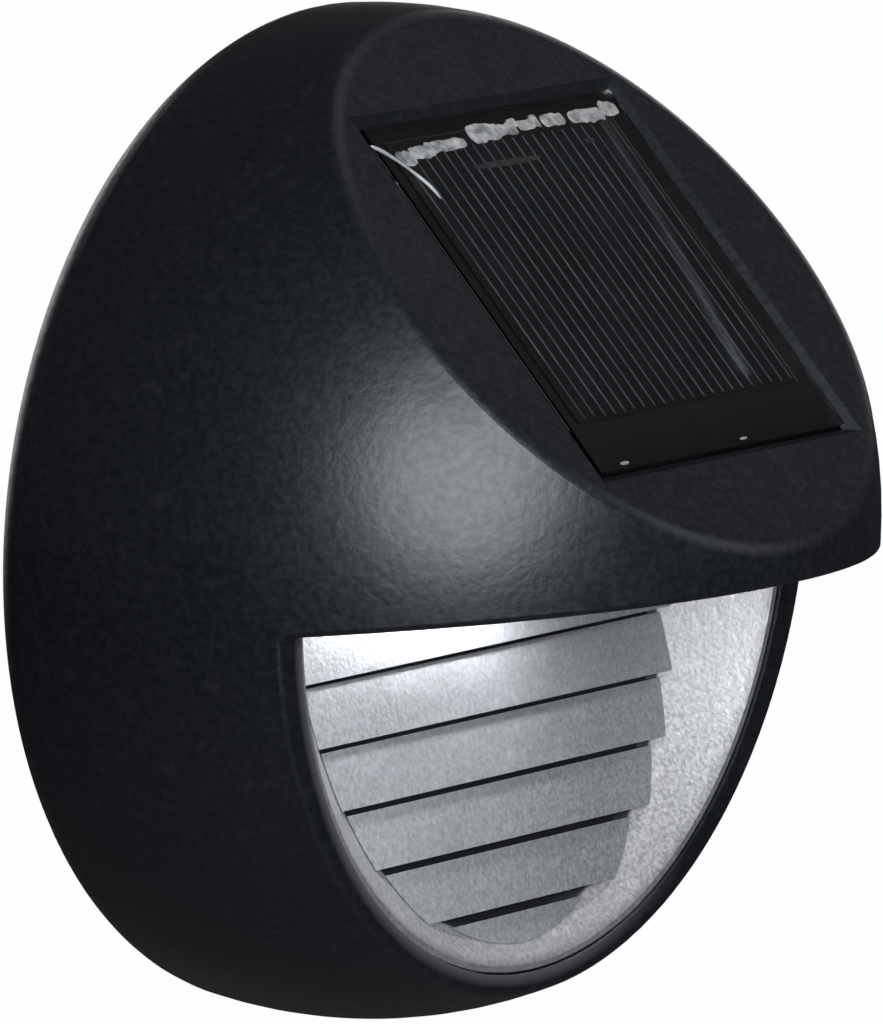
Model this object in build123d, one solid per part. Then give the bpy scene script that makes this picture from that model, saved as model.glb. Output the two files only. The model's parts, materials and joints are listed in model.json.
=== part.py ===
from build123d import *
import os
from math import ceil, cos, radians, sin, sqrt, tan

# Solar fence light: a ball-shaped housing that sits on a wall or fence board. A flat sloping face carries
# the solar panel, and under its hood an LED lights a stepped louvre panel in a flared reflector.
# Millimetres. The origin is on the wall behind the ball's centre, -Y points away from the wall, +Z is up.

# Front housing
ball_radius = 60.0
ball_centre_depth = 12.0  # from the wall to the ball's centre
wall = 2.4
back_edge_round = 5.0
face_slope = 46.0  # of the solar face, in degrees from level
face_cap = 14.7  # that the solar face cuts off the ball
face_edge_round = 3.0
lip_round = 0.8

# Light opening under the hood
rim_depth = 37.8  # from the wall to the rim's front
rim_thickness = 2.4
rim_width = 4.3
rim_centre_height = -2.0
hood_height = -5.4  # of the hood's lower edge where it meets the rim
hood_slope = 6.5  # of the hood's lower edge, rising to the front, in degrees

# Mouth on the wall side, back cover and its fixing
edge_width = 1.2  # of the flat edge on the wall, round the mouth
cover_thickness = 3.2
cover_clearance = 0.3
gasket_thickness = 0.5
gasket_width = 2.0
gasket_clearance = 0.2
seat_width = 3.0
seat_thickness = 2.0
boss_inset = 6.9  # of the screws from the mouth's side
boss_radius = 3.5
boss_length = 12.0
boss_rib = 2.0
screw_angle = 45.0  # of the first screw, round the light's axis
screw_radius = 1.3
screw_length = 9.0  # with its head
screw_head_radius = 2.5
screw_head_height = 1.7
screw_head_inset = 0.3
screw_head_clearance = 0.3
screw_clearance = 0.05
screw_count = 4

# Keyhole hangers in the back cover
keyhole_inset = 12.85  # sideways from the screw beside it
keyhole_drop = 24.35  # from the mouth's top
keyhole_entry_radius = 4.3
keyhole_slot_width = 4.4
keyhole_rise = 7.0
keyhole_lip = 2.2  # thickness of the cover beside the slot
keyhole_pocket_depth = 5.0
keyhole_pocket_wall = 1.4
keyhole_pocket_corner = 3.0

# Solar panel
panel_side = 50.2
panel_clearance = 0.2
panel_inset = 0.4  # from the solar face down to the resin's top
resin_thickness = 1.1
panel_board_thickness = 1.2
tape_thickness = 0.4
tape_width = 4.0
recess_chamfer = 1.3
pan_wall = 1.8
pan_floor = 1.6
cell_width = 45.0
cell_height = 41.0
cell_offset = 2.4  # up the slope from the recess's centre
cell_thickness = 0.3
ribbon_width = 1.6
ribbon_thickness = 0.15
cable_hole_radius = 4.0
cable_hole_offset = 14.0  # up the slope from the recess's centre

# Reflector, a flared dish closed above by a roof that carries the LED
dish_lip = 1.0  # between the flared wall's mouth and the rim
dish_mouth_inset = 0.5  # from the rim's front
dish_flare = 50.2  # of the flared wall from the light's axis, in degrees
dish_wall = 1.5
dish_clearance = 0.2
flange_width = 0.9
flange_thickness = 1.2
roof_rise = 3.0  # from the hood's lower edge to the roof's underside
roof_thickness = 1.6

# Louvre panel
louvre_inset = 5.3  # of the slats' proud edges behind the rim's front, at louvre_reference_height
louvre_reference_height = -30.0
louvre_tilt = 10.6  # of the panel's lower end towards the front, in degrees
louvre_pitch = 7.6
louvre_foot_strip = 5.7  # of the lowest slat that shows above the flared wall
louvre_step = 0.9
louvre_base = 1.8
louvre_gap = 1.2  # between the lowest slat's top and the proud edge above it
louvre_gap_ratio = 0.81  # of each gap to the one below it
louvre_gap_depth = 1.0
louvre_clearance = 0.15

# LED and main board
led_radius = 2.5
led_flange_radius = 2.9
led_flange_height = 1.0
led_height = 6.4
led_drop = 2.0  # of the dome below the roof's underside
led_offset = 2.0  # behind the rim's front, along the roof
led_hole_clearance = 0.3
led_lead_side = 0.5
led_lead_spacing = 2.54
board_width = 34.0
board_length = 24.0
board_thickness = 1.6
board_offset = 3.0  # of its centre in front of the rim, along the roof
board_post_height = 5.0
board_post_radius = 2.6
board_screw_spacing = 26.0
board_screw_offset = 8.0  # in front of the board's centre
board_screw_length = 5.0
board_screw_radius = 1.0
board_screw_head_radius = 1.9
board_screw_head_height = 1.2
coil_outer_radius = 4.0
coil_inner_radius = 1.8
coil_height = 3.6
chip_width = 4.2
chip_length = 1.6
chip_height = 3.4

# Battery and its box in the back cover
battery_height = -14.0
battery_radius = 7.1
battery_length = 48.8
battery_edge_chamfer = 0.8
battery_nub_radius = 2.7
battery_nub_height = 1.4
battery_clearance = 0.6
box_wall = 1.8
box_corner = 3.0
contact_thickness = 0.4
contact_width = 10.0
spring_length = 4.6
spring_wire_radius = 0.4
spring_base_radius = 4.6
spring_turns = 3.5
spring_cone = 16.0
spring_wire_sides = 6
tag_width = 3.0
tag_reach = 2.6
tag_clearance = 0.1

# Battery door
door_overlap = 2.2
door_thickness = 1.8
door_clearance = 0.2
door_corner = 2.5
door_gasket_thickness = 0.6
door_gasket_width = 1.2
door_gasket_inset = 0.3
door_tab_width = 8.0
door_tab_spacing = 36.0
door_tab_reach = 1.5
door_tab_thickness = 0.7
door_sweep_clearance = 0.25
door_notch_width = 14.0
door_notch_height = 3.0
door_notch_depth = 1.0
door_notch_corner = 2.0
door_grip_width = 10.0
door_grip_height = 1.0
door_grip_depth = 0.6

# Slide switch
switch_height = 11.0
switch_recess_width = 17.0
switch_recess_height = 8.0
switch_recess_depth = 1.8
switch_recess_corner = 2.0
switch_body_width = 12.0
switch_body_height = 6.0
switch_body_depth = 4.6
knob_width = 3.6
knob_height = 2.8
knob_proud = 1.2  # above the recess's floor
knob_foot = 1.0
knob_clearance = 0.2
switch_travel = 3.0
switch_tag_x = 3.0

# Leads
lead_radius = 0.6
lead_sides = 8
lead_bend = 3.0
lead_row = 8.0  # of the solder joints, behind the main board's centre
lead_tag_margin = 1.2  # from a contact tag's end
panel_lead_spacing = 5.0
panel_lead_drop = 8.0
panel_lead_rise = 12.0
battery_lead_reach = 9.0
battery_lead_climb = 20.0
battery_lead_rise = 9.0
battery_lead_x = 12.0
switch_side_climb = 18.0
switch_side_reach = 8.0
switch_lead_reach = 12.0
switch_lead_rise = 8.0
switch_lead_x = 1.0
switch_lead_row = 10.0

big = 400.0  # past everything
over = 1.0  # that a cut or a joined piece reaches past a face
on_plane = 0.01

sides = (-1, 1)

# Sizes that follow from the ones above
face_distance = ball_radius - face_cap
rim_outer_radius = sqrt(ball_radius**2 - (rim_depth - ball_centre_depth) ** 2)
rim_opening_radius = rim_outer_radius - rim_width
edge_radius = sqrt((ball_radius - back_edge_round) ** 2 - (ball_centre_depth - back_edge_round) ** 2)
mouth_radius = edge_radius - edge_width
boss_circle_radius = mouth_radius - boss_inset
dish_mouth_radius = rim_opening_radius - dish_lip
louvre_depth = rim_depth - louvre_inset
keyhole_spacing = 2 * (boss_circle_radius * cos(radians(screw_angle)) - keyhole_inset)
keyhole_height = mouth_radius - keyhole_drop
face_depth = ball_centre_depth + face_distance * sin(radians(face_slope))
face_height = face_distance * cos(radians(face_slope))
seat_depth = cover_thickness + gasket_thickness
cavity_depth = seat_depth + seat_thickness
cover_radius = mouth_radius - cover_clearance
pan_depth = panel_inset + resin_thickness + panel_board_thickness + tape_thickness
pan_side = panel_side + 2 * panel_clearance
dish_mouth_depth = rim_depth - dish_mouth_inset
ring_back = rim_depth - rim_thickness
roof_top = roof_rise + roof_thickness
board_bottom = roof_top + board_post_height
board_top = board_bottom + board_thickness
box_length = battery_length + battery_nub_height + spring_length + 2 * contact_thickness
box_height = 2 * (battery_radius + battery_clearance)
door_recess_depth = door_thickness + door_gasket_thickness
box_depth = door_recess_depth + box_height
box_outer_length = box_length + 2 * box_wall
box_outer_height = box_height + 2 * box_wall
battery_depth = box_depth - box_height / 2
door_width = box_length + 2 * door_overlap
door_height = box_height + 2 * door_overlap
door_top = battery_height + door_height / 2
tag_thickness = contact_thickness - tag_clearance
switch_back = cover_thickness + switch_body_depth

face_plane = Plane(
    origin=(0, -face_depth, face_height),
    x_dir=(1, 0, 0),
    z_dir=(0, -sin(radians(face_slope)), cos(radians(face_slope))),
)
rim_plane = Plane(origin=(0, -rim_depth, 0), x_dir=(1, 0, 0), z_dir=(0, -1, 0))
hood_plane = Plane(
    origin=(0, -rim_depth, hood_height),
    x_dir=(1, 0, 0),
    z_dir=(0, sin(radians(hood_slope)), cos(radians(hood_slope))),
)
louvre_plane = Plane(
    origin=(0, -louvre_depth, louvre_reference_height),
    x_dir=(1, 0, 0),
    z_dir=(0, -cos(radians(louvre_tilt)), sin(radians(louvre_tilt))),
)


# Placing and cutting helpers. Depth is the distance from the wall.
def slab(near, far):
    return Pos(0, -(near + far) / 2, 0) * Box(big, far - near, big)


def above(plane):
    return plane * Pos(0, 0, big / 2) * Box(big, big, big)


def below(plane):
    return plane * Pos(0, 0, -big / 2) * Box(big, big, big)


def ball(radius):
    return Pos(0, -ball_centre_depth, 0) * Sphere(radius)


def rod(x, height, near, far, radius):
    return Pos(x, -(near + far) / 2, height) * Rot(90, 0, 0) * Cylinder(radius, far - near)


def block(x, height, near, far, width, tall):
    return Pos(x, -(near + far) / 2, height) * Box(width, far - near, tall)


def rounded_block(x, height, near, far, width, tall, corner):
    body = block(x, height, near, far, width, tall)
    return fillet(body.edges().filter_by(Axis.Y), corner)


def ring(near, far, outer, inner):
    return rod(0, 0, near, far, outer) - rod(0, 0, near, far, inner)


def at_screws(shape):
    return [Rot(0, screw_angle + 360 * i / screw_count, 0) * shape for i in range(screw_count)]


def lies_on(edge, plane):
    return abs(plane.to_local_coords(edge.center()).Z) < on_plane


def both(value):
    return (-value, value)


def world(plane, x, y, z):
    return plane.from_local_coords(Vector(x, y, z))


# Front housing
def housing_skin():
    skin = ball(ball_radius) & slab(0, big)
    skin = fillet(skin.edges().sort_by(Axis.Y)[-1], back_edge_round)
    skin = skin - above(face_plane)
    face_edge = skin.faces().sort_by_distance(face_plane.origin)[0].edges()
    skin = fillet(face_edge, face_edge_round)
    skin = skin - (slab(rim_depth, big) & below(hood_plane))
    lip = [edge for edge in skin.edges() if lies_on(edge, rim_plane) or lies_on(edge, hood_plane)]
    return fillet(lip, lip_round)


def panel_pan(side, depth):
    return face_plane * Pos(0, 0, -depth / 2) * Box(side, side, depth)


def housing_boss():
    boss_end = cover_thickness + boss_length
    boss = rod(boss_circle_radius, 0, cover_thickness, boss_end, boss_radius)
    rib_length = ball_radius - boss_circle_radius
    rib_centre = boss_circle_radius + rib_length / 2
    return boss + block(rib_centre, 0, seat_depth, boss_end, rib_length, boss_rib)


def front_housing():
    skin = housing_skin()
    cavity = (ball(ball_radius - wall) & slab(cavity_depth, big)) - above(face_plane.offset(-wall))
    cavity = cavity - (slab(ring_back, rim_depth) & below(hood_plane))
    opening = rod(0, rim_centre_height, ring_back - over, rim_depth + over, rim_opening_radius)
    opening = opening & below(hood_plane.offset(wall / 2))
    body = skin - cavity - opening
    body = body - rod(0, 0, -over, seat_depth, mouth_radius)
    body = body - rod(0, 0, 0, cavity_depth + over, mouth_radius - seat_width)
    bosses = at_screws(housing_boss())
    pan = panel_pan(pan_side + 2 * pan_wall, pan_depth + pan_floor) - above(face_plane.offset(-wall / 2))
    inside = ball(ball_radius - wall / 2)
    body = body + (pan & inside) + [boss & inside for boss in bosses]
    body = body - panel_pan(pan_side, pan_depth) - recess_mouth()
    hole = Cylinder(cable_hole_radius, 2 * (pan_floor + over))
    body = body - face_plane * Pos(0, cable_hole_offset, -pan_depth) * hole
    pilot = rod(boss_circle_radius, 0, 0, cover_thickness + screw_length, screw_radius + screw_clearance)
    return body - at_screws(pilot)


def recess_mouth():
    low = face_plane.offset(-recess_chamfer) * Rectangle(pan_side, pan_side)
    spread = 2 * recess_chamfer
    high = face_plane.offset(recess_chamfer) * Rectangle(pan_side + 2 * spread, pan_side + 2 * spread)
    return loft([low, high])


# Solar panel, stacked downwards from the solar face
def panel_layer(top, thickness, width, height, offset=0):
    return face_plane * Pos(0, offset, -top - thickness / 2) * Box(width, height, thickness)


def panel_resin():
    resin = panel_layer(panel_inset, resin_thickness, panel_side, panel_side)
    pocket_depth = cell_thickness + ribbon_thickness
    pocket_top = panel_inset + resin_thickness - pocket_depth
    return resin - panel_layer(pocket_top, pocket_depth, cell_width, cell_height, cell_offset)


def solar_cell():
    top = panel_inset + resin_thickness - cell_thickness
    return panel_layer(top, cell_thickness, cell_width, cell_height, cell_offset)


def bus_ribbon():
    top = panel_inset + resin_thickness - cell_thickness - ribbon_thickness
    offset = cell_offset + (cell_height - ribbon_width) / 2
    return panel_layer(top, ribbon_thickness, cell_width, ribbon_width, offset)


def panel_board():
    return panel_layer(panel_inset + resin_thickness, panel_board_thickness, panel_side, panel_side)


def panel_tape():
    top = pan_depth - tape_thickness
    outer = panel_layer(top, tape_thickness, panel_side, panel_side)
    inner_side = panel_side - 2 * tape_width
    return outer - panel_layer(top, tape_thickness, inner_side, inner_side)


# Reflector
def dish_radius(depth, thickness=0.0):
    flare = radians(dish_flare)
    return dish_mouth_radius - (dish_mouth_depth - depth) * tan(flare) + thickness / cos(flare)


def dish_apex(thickness=0.0):
    flare = radians(dish_flare)
    return dish_mouth_depth - (dish_mouth_radius + thickness / cos(flare)) / tan(flare)


def dish_profile(points):
    outline = Polyline([(radius, -depth) for radius, depth in points], close=True)
    solid = revolve(Plane.XY * make_face(outline), Axis.Y, 360)
    return Pos(0, 0, rim_centre_height) * solid


def dish_cavity():
    front = rim_depth + over
    return dish_profile([(0, dish_apex()), (dish_radius(front), front), (0, front)])


def dish_body():
    outer = rim_opening_radius - dish_clearance
    flange_outer = rim_opening_radius + flange_width
    flange_back = ring_back - flange_thickness
    return dish_profile(
        [
            (0, dish_apex(dish_wall)),
            (dish_radius(flange_back, dish_wall), flange_back),
            (flange_outer, flange_back),
            (flange_outer, ring_back),
            (outer, ring_back),
            (outer, dish_mouth_depth),
            (0, dish_mouth_depth),
        ]
    )


def board_screw_place(side, height):
    return hood_plane * Pos(side * board_screw_spacing / 2, -board_offset - board_screw_offset, height)


def roof_post(side):
    middle = roof_top + (board_post_height - over) / 2
    return board_screw_place(side, middle) * Cylinder(board_post_radius, board_post_height + over)


def louvre_floor():
    return louvre_plane.offset(-louvre_step - louvre_base)


def reflector():
    floor = louvre_floor()
    under_roof = below(hood_plane.offset(roof_rise))
    dish = (dish_body() & below(hood_plane.offset(roof_top))) - (
        dish_cavity() & above(floor) & under_roof
    )
    dish = dish & above(floor.offset(-dish_wall))
    roof = below(hood_plane.offset(roof_top)) & above(hood_plane.offset(roof_rise))
    roof = roof & slab(ring_back, big)
    piece = (dish + roof) & ball(ball_radius - wall - dish_clearance)
    piece = piece - above(face_plane.offset(-wall - dish_clearance))
    piece = piece + [roof_post(side) for side in sides]
    hole = Cylinder(board_screw_radius + screw_clearance, 2 * board_screw_length)
    piece = piece - [board_screw_place(side, board_bottom) * hole for side in sides]
    led_hole = led_radius + led_hole_clearance
    return piece - hood_plane * Pos(0, led_offset, roof_rise) * Cylinder(led_hole, 4 * roof_thickness)


# Louvre panel: clapboard slats, each proud at its lower edge. Places along it are from the reference height.
def louvre_foot():
    flare = tan(radians(dish_flare))
    tilt = radians(louvre_tilt)
    depth_gap = dish_mouth_depth - louvre_depth
    drop = rim_centre_height - louvre_reference_height - dish_mouth_radius + depth_gap * flare
    return drop / (cos(tilt) - sin(tilt) * flare)


def slat(bottom, gap):
    top = bottom + louvre_pitch
    back = -louvre_step - louvre_base
    gap_back = -louvre_step - louvre_gap_depth
    outline = Polyline(
        [
            (back, top),
            (gap_back, top),
            (gap_back, top - gap),
            (-louvre_step, top - gap),
            (0, bottom),
            (back, bottom),
        ],
        close=True,
    )
    side_plane = Plane(origin=louvre_plane.origin, x_dir=louvre_plane.z_dir, z_dir=(-1, 0, 0))
    return extrude(side_plane * make_face(outline), amount=ball_radius, both=True)


def louvre_panel():
    lowest = louvre_foot() + louvre_foot_strip - louvre_pitch
    head = (hood_height + roof_rise - louvre_reference_height) / cos(radians(louvre_tilt))
    panel = slat(lowest, louvre_gap)
    for index in range(1, ceil((head - lowest) / louvre_pitch)):
        panel = panel + slat(lowest + index * louvre_pitch, louvre_gap * louvre_gap_ratio**index)
    bowl = Pos(0, -louvre_clearance, 0) * dish_cavity()
    return panel & bowl & below(hood_plane.offset(roof_rise - louvre_clearance))


# LED and main board, in the roof's plane
def led():
    bottom = roof_rise - led_drop
    dome = Pos(0, 0, bottom + led_radius) * Sphere(led_radius)
    barrel_height = led_height - led_radius
    barrel = Pos(0, 0, bottom + led_radius + barrel_height / 2) * Cylinder(led_radius, barrel_height)
    flange = Pos(0, 0, bottom + led_height - led_flange_height / 2) * Cylinder(
        led_flange_radius, led_flange_height
    )
    lead_height = board_bottom - bottom - led_height
    lead = Box(led_lead_side, led_lead_side, lead_height)
    lead_z = bottom + led_height + lead_height / 2
    leads = [Pos(side * led_lead_spacing / 2, 0, lead_z) * lead for side in sides]
    return hood_plane * Pos(0, led_offset, 0) * (dome + barrel + flange + leads)


def main_board():
    board = hood_plane * Pos(0, -board_offset, board_bottom + board_thickness / 2) * Box(
        board_width, board_length, board_thickness
    )
    hole = Cylinder(board_screw_radius + screw_clearance, 4 * board_thickness)
    return board - [board_screw_place(side, board_bottom) * hole for side in sides]


def board_screw():
    head = Pos(0, 0, board_screw_head_height / 2) * Cylinder(board_screw_head_radius, board_screw_head_height)
    return head + Pos(0, 0, -board_screw_length / 2) * Cylinder(board_screw_radius, board_screw_length)


def board_screws():
    return Compound([board_screw_place(side, board_top) * board_screw() for side in sides])


def coil():
    body = Cylinder(coil_outer_radius, coil_height) - Cylinder(coil_inner_radius, coil_height)
    return hood_plane * Pos(-board_width / 4, 0, board_top + coil_height / 2) * body


def driver_chip():
    return hood_plane * Pos(board_width / 4, -board_offset, board_top + chip_height / 2) * Box(
        chip_width, chip_length, chip_height
    )


# Back cover with the battery box, keyholes and switch recess
def keyhole(x):
    entry = rod(x, keyhole_height, 0, cover_thickness, keyhole_entry_radius)
    middle = keyhole_height + keyhole_rise / 2
    slot = block(x, middle, 0, cover_thickness, keyhole_slot_width, keyhole_rise)
    return entry + slot + rod(x, keyhole_height + keyhole_rise, 0, cover_thickness, keyhole_slot_width / 2)


def keyhole_pocket(x, grow):
    width = 2 * (keyhole_entry_radius + grow)
    middle = keyhole_height + keyhole_rise / 2
    far = cover_thickness + keyhole_pocket_depth + grow
    return rounded_block(x, middle, keyhole_lip, far, width, width + keyhole_rise, keyhole_pocket_corner)


def tab_pocket(x):
    reach = sqrt(door_tab_reach**2 + door_thickness**2) + door_sweep_clearance
    width = door_tab_width + 2 * door_clearance
    sweep = Pos(x, 0, door_top) * Rot(0, 90, 0) * Cylinder(reach, width)
    return sweep & slab(door_thickness - door_tab_thickness - door_clearance, big)


def battery_box():
    far = box_depth + box_wall
    return rounded_block(0, battery_height, keyhole_lip, far, box_outer_length, box_outer_height, box_corner)


def battery_room():
    room = block(0, battery_height, 0, box_depth, box_length, box_height)
    width = door_width + 2 * door_clearance
    height = door_height + 2 * door_clearance
    return room + rounded_block(0, battery_height, 0, door_recess_depth, width, height, door_corner)


def contact_slot(side):
    x = side * (box_length + box_wall) / 2
    near = battery_depth - contact_thickness / 2
    return block(x, battery_height, near, near + contact_thickness, box_wall + 2 * over, tag_width)


def door_notch():
    bottom = battery_height - door_height / 2
    return rounded_block(
        0, bottom, 0, door_notch_depth, door_notch_width, 2 * door_notch_height, door_notch_corner
    )


def switch_opening():
    recess = rounded_block(
        0, switch_height, 0, switch_recess_depth, switch_recess_width, switch_recess_height,
        switch_recess_corner,
    )
    slot_width = knob_width + switch_travel + 2 * knob_clearance
    return recess + block(0, switch_height, 0, cover_thickness, slot_width, knob_height + 2 * knob_clearance)


def screw_hole():
    head_depth = screw_head_inset + screw_head_height
    head = rod(boss_circle_radius, 0, 0, head_depth, screw_head_radius + screw_head_clearance)
    return head + rod(boss_circle_radius, 0, 0, cover_thickness, screw_radius + screw_clearance)


def back_cover():
    cover = rod(0, 0, 0, cover_thickness, cover_radius) + battery_box()
    cover = cover + [keyhole_pocket(x, keyhole_pocket_wall) for x in both(keyhole_spacing / 2)]
    for x in both(keyhole_spacing / 2):
        cover = cover - keyhole_pocket(x, 0) - keyhole(x)
    cover = cover - battery_room() - door_notch() - switch_opening()
    cover = cover - [tab_pocket(x) for x in both(door_tab_spacing / 2)]
    cover = cover - [contact_slot(side) for side in sides]
    return cover - at_screws(screw_hole())


def back_gasket():
    outer = mouth_radius - gasket_clearance
    return ring(cover_thickness, seat_depth, outer, outer - gasket_width)


def back_screw():
    head_end = screw_head_inset + screw_head_height
    head = rod(boss_circle_radius, 0, screw_head_inset, head_end, screw_head_radius)
    return head + rod(boss_circle_radius, 0, head_end, screw_head_inset + screw_length, screw_radius)


def back_screws():
    return Compound(at_screws(back_screw()))


# Battery and contacts. The positive end is at -X.
def battery_left():
    return -box_length / 2 + contact_thickness


def battery_cell():
    left = battery_left()
    can = Rot(0, 90, 0) * Cylinder(battery_radius, battery_length)
    can = chamfer(can.edges(), battery_edge_chamfer)
    nub = Rot(0, 90, 0) * Cylinder(battery_nub_radius, battery_nub_height)
    can_x = left + battery_nub_height + battery_length / 2
    whole = Pos(can_x, 0, 0) * can + Pos(left + battery_nub_height / 2, 0, 0) * nub
    return Pos(0, -battery_depth, battery_height) * whole


def contact_plate(side):
    x = side * (box_length - contact_thickness) / 2
    near = battery_depth - contact_width / 2
    plate = block(x, battery_height, near, near + contact_width, contact_thickness, contact_width)
    reach = contact_thickness + box_wall + tag_reach
    tag_x = side * (box_length / 2 - contact_thickness + reach / 2)
    near = battery_depth - tag_thickness / 2
    return plate + block(tag_x, battery_height, near, near + tag_thickness, reach, tag_width - tag_clearance)


def positive_contact():
    return contact_plate(-1)


def negative_contact():
    return contact_plate(1)


def battery_spring():
    room = spring_length - 2 * spring_wire_radius
    coil_path = Helix(room / spring_turns, room, spring_base_radius, cone_angle=-spring_cone)
    start = Plane(origin=coil_path @ 0, z_dir=coil_path % 0)
    section = RegularPolygon(spring_wire_radius, spring_wire_sides)
    wire = sweep(start * section, path=coil_path, is_frenet=True)
    x = box_length / 2 - contact_thickness - spring_wire_radius
    return Pos(x, -battery_depth, battery_height) * Rot(0, -90, 0) * wire


# Battery door, hung on two tabs at its top edge
def battery_door():
    door = rounded_block(0, battery_height, 0, door_thickness, door_width, door_height, door_corner)
    tab_near = door_thickness - door_tab_thickness
    tab_height = door_tab_reach + door_corner
    tab_middle = door_top + door_tab_reach - tab_height / 2
    for x in both(door_tab_spacing / 2):
        door = door + block(x, tab_middle, tab_near, door_thickness, door_tab_width, tab_height)
    bottom = battery_height - door_height / 2
    return door - block(0, bottom, 0, door_grip_depth, door_grip_width, 2 * door_grip_height)


def door_gasket():
    width = door_width - 2 * door_gasket_inset
    height = door_height - 2 * door_gasket_inset
    outer = rounded_block(0, battery_height, door_thickness, door_recess_depth, width, height, door_corner)
    inner_width = width - 2 * door_gasket_width
    inner_height = height - 2 * door_gasket_width
    return outer - block(0, battery_height, door_thickness, door_recess_depth, inner_width, inner_height)


# Slide switch, shown off: the knob is at the -X end of its slot
def switch_body():
    near = cover_thickness
    body = block(0, switch_height, near, switch_back, switch_body_width, switch_body_height)
    room_width = knob_width + 2 * knob_foot + switch_travel + 2 * knob_clearance
    room_height = knob_height + 2 * knob_clearance
    return body - block(0, switch_height, near, near + knob_foot + knob_clearance, room_width, room_height)


def switch_knob():
    x = -switch_travel / 2
    foot_near = cover_thickness + knob_clearance / 2
    foot_far = foot_near + knob_foot
    stem = block(x, switch_height, switch_recess_depth - knob_proud, foot_far, knob_width, knob_height)
    return stem + block(x, switch_height, foot_near, foot_far, knob_width + 2 * knob_foot, knob_height)


# Leads
def lead(points):
    path = FilletPolyline(*points, radius=lead_bend)
    start = Plane(origin=path @ 0, z_dir=path % 0)
    return sweep(start * RegularPolygon(lead_radius, lead_sides), path=path)


def above_board(x, row, height):
    return world(hood_plane, x, row - board_offset, board_top + height)


def panel_lead(side):
    x = side * panel_lead_spacing / 2
    start = world(face_plane, x, cable_hole_offset, tape_thickness - pan_depth)
    inside = world(face_plane, x, cable_hole_offset, -pan_depth - pan_floor - panel_lead_drop)
    over_board = above_board(side * panel_lead_spacing, lead_row, panel_lead_rise)
    return lead([start, inside, over_board, above_board(side * panel_lead_spacing, lead_row, 0)])


def panel_lead_positive():
    return panel_lead(1)


def panel_lead_negative():
    return panel_lead(-1)


def tag_point(side, out, climb=0.0):
    x = side * (box_length / 2 + box_wall + tag_reach - lead_tag_margin)
    return Vector(x, -battery_depth - tag_thickness / 2 - out, battery_height + climb)


def battery_lead_negative():
    start = tag_point(1, 0)
    corner = tag_point(1, battery_lead_reach)
    climb = tag_point(1, battery_lead_reach, battery_lead_climb)
    over_board = above_board(battery_lead_x, lead_row, battery_lead_rise)
    return lead([start, corner, climb, over_board, above_board(battery_lead_x, lead_row, 0)])


def battery_lead_positive():
    start = tag_point(-1, 0)
    corner = tag_point(-1, battery_lead_reach)
    climb = tag_point(-1, battery_lead_reach, switch_side_climb)
    bend = Vector(-switch_tag_x, -switch_back - switch_side_reach, switch_height)
    return lead([start, corner, climb, bend, Vector(-switch_tag_x, -switch_back, switch_height)])


def switch_lead():
    start = Vector(switch_tag_x, -switch_back, switch_height)
    bend = Vector(switch_tag_x, -switch_back - switch_lead_reach, switch_height)
    over_board = above_board(switch_lead_x, switch_lead_row, switch_lead_rise)
    return lead([start, bend, over_board, above_board(switch_lead_x, switch_lead_row, 0)])


pieces = {
    "front_housing": front_housing,
    "panel_resin": panel_resin,
    "solar_cell": solar_cell,
    "bus_ribbon": bus_ribbon,
    "panel_board": panel_board,
    "panel_tape": panel_tape,
    "reflector": reflector,
    "louvre_panel": louvre_panel,
    "led": led,
    "main_board": main_board,
    "board_screws": board_screws,
    "coil": coil,
    "driver_chip": driver_chip,
    "back_cover": back_cover,
    "back_gasket": back_gasket,
    "back_screws": back_screws,
    "battery_cell": battery_cell,
    "positive_contact": positive_contact,
    "negative_contact": negative_contact,
    "battery_spring": battery_spring,
    "battery_door": battery_door,
    "door_gasket": door_gasket,
    "switch_body": switch_body,
    "switch_knob": switch_knob,
    "panel_lead_positive": panel_lead_positive,
    "panel_lead_negative": panel_lead_negative,
    "battery_lead_positive": battery_lead_positive,
    "battery_lead_negative": battery_lead_negative,
    "switch_lead": switch_lead,
}


def main():
    os.makedirs("parts", exist_ok=True)
    for name, make in pieces.items():
        export_step(make(), f"parts/{name}.step")
        print(name)


if __name__ == "__main__":
    main()
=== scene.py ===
import bmesh
import bpy
import json
from math import cos, pi, radians, sin
from mathutils import Matrix, Quaternion, Vector, noise


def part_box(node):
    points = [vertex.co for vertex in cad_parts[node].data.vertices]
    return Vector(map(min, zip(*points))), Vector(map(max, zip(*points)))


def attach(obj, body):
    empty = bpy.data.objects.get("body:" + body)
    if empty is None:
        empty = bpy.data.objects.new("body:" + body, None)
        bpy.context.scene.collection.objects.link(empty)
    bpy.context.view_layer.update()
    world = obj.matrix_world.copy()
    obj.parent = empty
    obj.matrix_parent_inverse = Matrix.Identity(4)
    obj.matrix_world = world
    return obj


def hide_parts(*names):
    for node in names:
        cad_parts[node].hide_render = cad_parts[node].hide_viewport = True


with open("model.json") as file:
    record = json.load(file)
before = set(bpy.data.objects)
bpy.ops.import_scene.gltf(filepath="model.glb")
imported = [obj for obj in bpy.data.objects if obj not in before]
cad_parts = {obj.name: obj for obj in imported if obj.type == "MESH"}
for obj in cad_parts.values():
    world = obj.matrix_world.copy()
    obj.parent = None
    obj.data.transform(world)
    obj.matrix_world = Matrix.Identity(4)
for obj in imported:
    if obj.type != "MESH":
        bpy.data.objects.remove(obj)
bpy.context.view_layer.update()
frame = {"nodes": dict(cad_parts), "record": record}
print("frame loaded:", len(frame["nodes"]), "nodes")

scene = bpy.context.scene
mm = 0.001


def newGroup(name, inputs, outputs):
    group = bpy.data.node_groups.new(name, "ShaderNodeTree")
    for way, labels in (("INPUT", inputs), ("OUTPUT", outputs)):
        for label in labels:
            group.interface.new_socket(label, in_out=way, socket_type="NodeSocketFloat")
    return group, group.nodes.new("NodeGroupInput"), group.nodes.new("NodeGroupOutput")


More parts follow.
